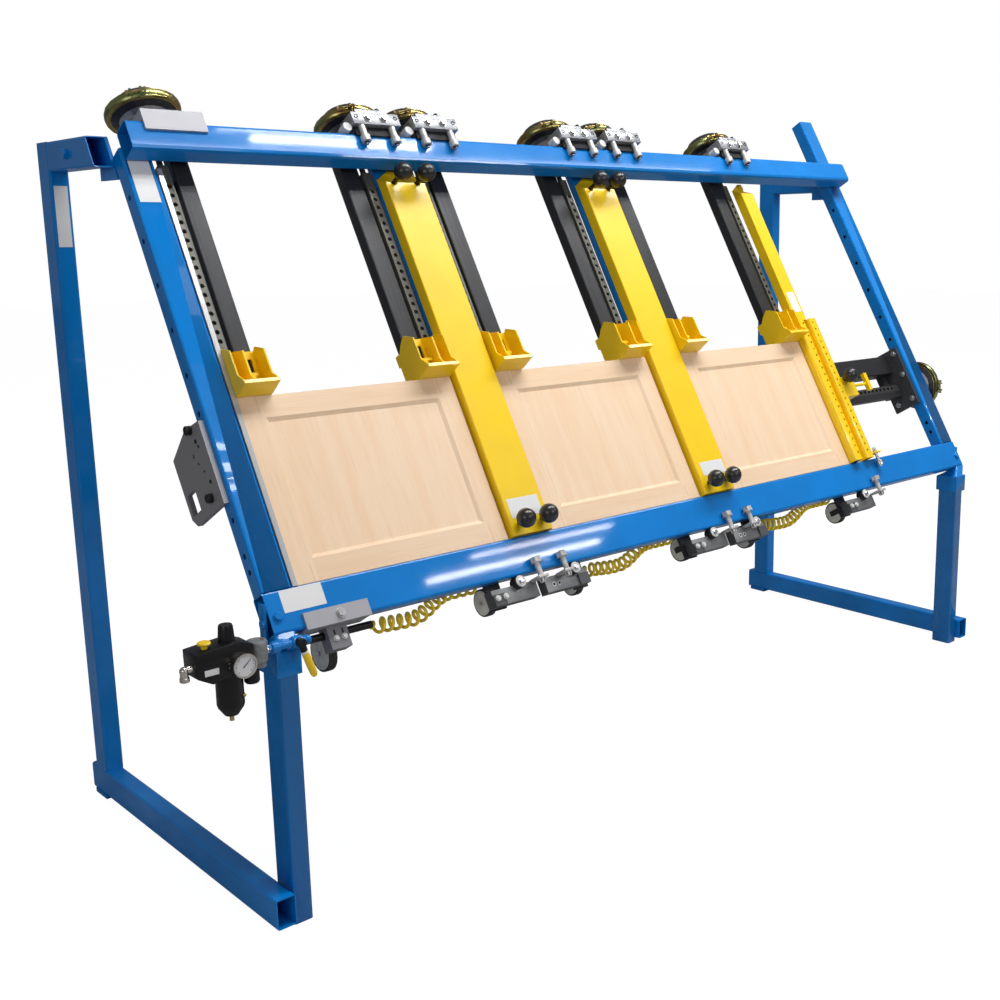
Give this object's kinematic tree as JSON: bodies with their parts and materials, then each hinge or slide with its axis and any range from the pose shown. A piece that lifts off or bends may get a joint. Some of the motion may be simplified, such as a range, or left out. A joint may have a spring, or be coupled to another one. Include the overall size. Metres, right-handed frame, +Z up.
{
  "type": "pneumatic door clamp",
  "caption": "Tilted tube frame on two stands with air-driven clamps that slide along it, a sideways clamp, hold-down bars and cabinet doors being clamped.",
  "frame": {"origin": "centre of the outer size, on the floor", "axes": "+X along the rails to the right of someone at the machine, +Y to the back, +Z up"},
  "size_m": [3.265, 1.1444, 2.0461],
  "materials": {
    "blue_paint": "semi-gloss",
    "yellow_paint": "semi-gloss",
    "black_paint": "satin",
    "bare_steel": "satin",
    "aluminium": "satin",
    "zinc_yellow": "yellow zinc plate",
    "black_plastic": "satin",
    "yellow_hose": "satin",
    "maple": "unfinished"
  },
  "bodies": {
    "frame": {"bottom_rail": "blue_paint", "door_1": "maple", "door_2": "maple", "door_3": "maple", "left_base_rail": "blue_paint", "left_front_post": "blue_paint", "left_rear_post": "blue_paint", "left_side_tube": "blue_paint", "right_base_rail": "blue_paint", "right_front_post": "blue_paint", "right_rear_post": "blue_paint", "right_side_tube": "blue_paint", "top_rail": "blue_paint", "clamp_beam_1": "black_paint", "air_chamber_1": "zinc_yellow", "side_beam": "black_paint", "side_air_chamber": "zinc_yellow", "air_filter_regulator": "black_plastic", "air_hose_1": "yellow_hose", "air_hose_2": "yellow_hose", "air_hose_3": "yellow_hose"},
    "clamp_2": {"clamp_beam_2": "black_paint", "air_chamber_2": "zinc_yellow", "top_trolley_2": "aluminium", "bottom_trolley_2": "aluminium"},
    "clamp_3": {"clamp_beam_3": "black_paint", "air_chamber_3": "zinc_yellow", "top_trolley_3": "aluminium", "bottom_trolley_3": "aluminium"},
    "clamp_4": {"clamp_beam_4": "black_paint", "air_chamber_4": "zinc_yellow", "top_trolley_4": "aluminium", "bottom_trolley_4": "aluminium"},
    "clamp_5": {"clamp_beam_5": "black_paint", "air_chamber_5": "zinc_yellow", "top_trolley_5": "aluminium", "bottom_trolley_5": "aluminium"},
    "clamp_6": {"clamp_beam_6": "black_paint", "air_chamber_6": "zinc_yellow", "top_trolley_6": "aluminium", "bottom_trolley_6": "aluminium"},
    "pusher_1": {"pusher_bar_1": "bare_steel"},
    "jaw_1": {"jaw_1": "yellow_paint"},
    "pusher_2": {"pusher_bar_2": "bare_steel"},
    "jaw_2": {"jaw_2": "yellow_paint"},
    "pusher_3": {"pusher_bar_3": "bare_steel"},
    "jaw_3": {"jaw_3": "yellow_paint"},
    "pusher_4": {"pusher_bar_4": "bare_steel"},
    "jaw_4": {"jaw_4": "yellow_paint"},
    "pusher_5": {"pusher_bar_5": "bare_steel"},
    "jaw_5": {"jaw_5": "yellow_paint"},
    "pusher_6": {"pusher_bar_6": "bare_steel"},
    "jaw_6": {"jaw_6": "yellow_paint"},
    "hold_down_bar_1": {"hold_down_bar_1": "yellow_paint"},
    "hold_down_bar_2": {"hold_down_bar_2": "yellow_paint"},
    "side_pusher": {"side_pusher_bar": "bare_steel"},
    "side_jaw": {"side_jaw": "yellow_paint", "squaring_fence": "yellow_paint", "end_bar": "yellow_paint"},
    "valve_handle": {"valve_handle": "yellow_paint"}
  },
  "joints": [
    {"name": "clamp_2_slide", "type": "slide", "parent": "frame", "child": "clamp_2", "axis": [1, 0, 0], "range_m": [-0.12, 0], "deforming": ["air_hose_1"]},
    {"name": "clamp_3_slide", "type": "slide", "parent": "frame", "child": "clamp_3", "axis": [1, 0, 0], "range_m": [0, 0.08], "deforming": ["air_hose_2"]},
    {"name": "clamp_4_slide", "type": "slide", "parent": "frame", "child": "clamp_4", "axis": [1, 0, 0], "range_m": [-0.08, 0], "deforming": ["air_hose_2"]},
    {"name": "clamp_5_slide", "type": "slide", "parent": "frame", "child": "clamp_5", "axis": [1, 0, 0], "range_m": [0, 0.12], "deforming": ["air_hose_3"]},
    {"name": "clamp_6_slide", "type": "slide", "parent": "frame", "child": "clamp_6", "axis": [1, 0, 0], "range_m": [-0.12, 0], "deforming": ["air_hose_3"]},
    {"name": "pusher_1_slide", "type": "slide", "parent": "frame", "child": "pusher_1", "axis": [0, 0.5, 0.866], "range_m": [0, 0.05]},
    {"name": "jaw_1_slide", "type": "slide", "parent": "pusher_1", "child": "jaw_1", "axis": [0, 0.5, 0.866], "range_m": [0, 0.4]},
    {"name": "pusher_2_slide", "type": "slide", "parent": "clamp_2", "child": "pusher_2", "axis": [0, 0.5, 0.866], "range_m": [0, 0.05]},
    {"name": "jaw_2_slide", "type": "slide", "parent": "pusher_2", "child": "jaw_2", "axis": [0, 0.5, 0.866], "range_m": [0, 0.4]},
    {"name": "pusher_3_slide", "type": "slide", "parent": "clamp_3", "child": "pusher_3", "axis": [0, 0.5, 0.866], "range_m": [0, 0.05]},
    {"name": "jaw_3_slide", "type": "slide", "parent": "pusher_3", "child": "jaw_3", "axis": [0, 0.5, 0.866], "range_m": [0, 0.4]},
    {"name": "pusher_4_slide", "type": "slide", "parent": "clamp_4", "child": "pusher_4", "axis": [0, 0.5, 0.866], "range_m": [0, 0.05]},
    {"name": "jaw_4_slide", "type": "slide", "parent": "pusher_4", "child": "jaw_4", "axis": [0, 0.5, 0.866], "range_m": [0, 0.4]},
    {"name": "pusher_5_slide", "type": "slide", "parent": "clamp_5", "child": "pusher_5", "axis": [0, 0.5, 0.866], "range_m": [0, 0.05]},
    {"name": "jaw_5_slide", "type": "slide", "parent": "pusher_5", "child": "jaw_5", "axis": [0, 0.5, 0.866], "range_m": [0, 0.4]},
    {"name": "pusher_6_slide", "type": "slide", "parent": "clamp_6", "child": "pusher_6", "axis": [0, 0.5, 0.866], "range_m": [0, 0.05]},
    {"name": "jaw_6_slide", "type": "slide", "parent": "pusher_6", "child": "jaw_6", "axis": [0, 0.5, 0.866], "range_m": [0, 0.4]},
    {"name": "hold_down_bar_1_slide", "type": "slide", "parent": "frame", "child": "hold_down_bar_1", "axis": [1, 0, 0], "range_m": [-0.005, 0.005]},
    {"name": "hold_down_bar_2_slide", "type": "slide", "parent": "frame", "child": "hold_down_bar_2", "axis": [1, 0, 0], "range_m": [-0.005, 0]},
    {"name": "side_pusher_slide", "type": "slide", "parent": "frame", "child": "side_pusher", "axis": [1, 0, 0], "range_m": [0, 0.05]},
    {"name": "side_jaw_slide", "type": "slide", "parent": "side_pusher", "child": "side_jaw", "axis": [1, 0, 0], "range_m": [0, 0.3]},
    {"name": "valve_turn", "type": "hinge", "parent": "frame", "child": "valve_handle", "pos_m": [-1.3545, -0.5182, 0.695], "axis": [0, -1, 0], "range_deg": [0, 90]}
  ]
}
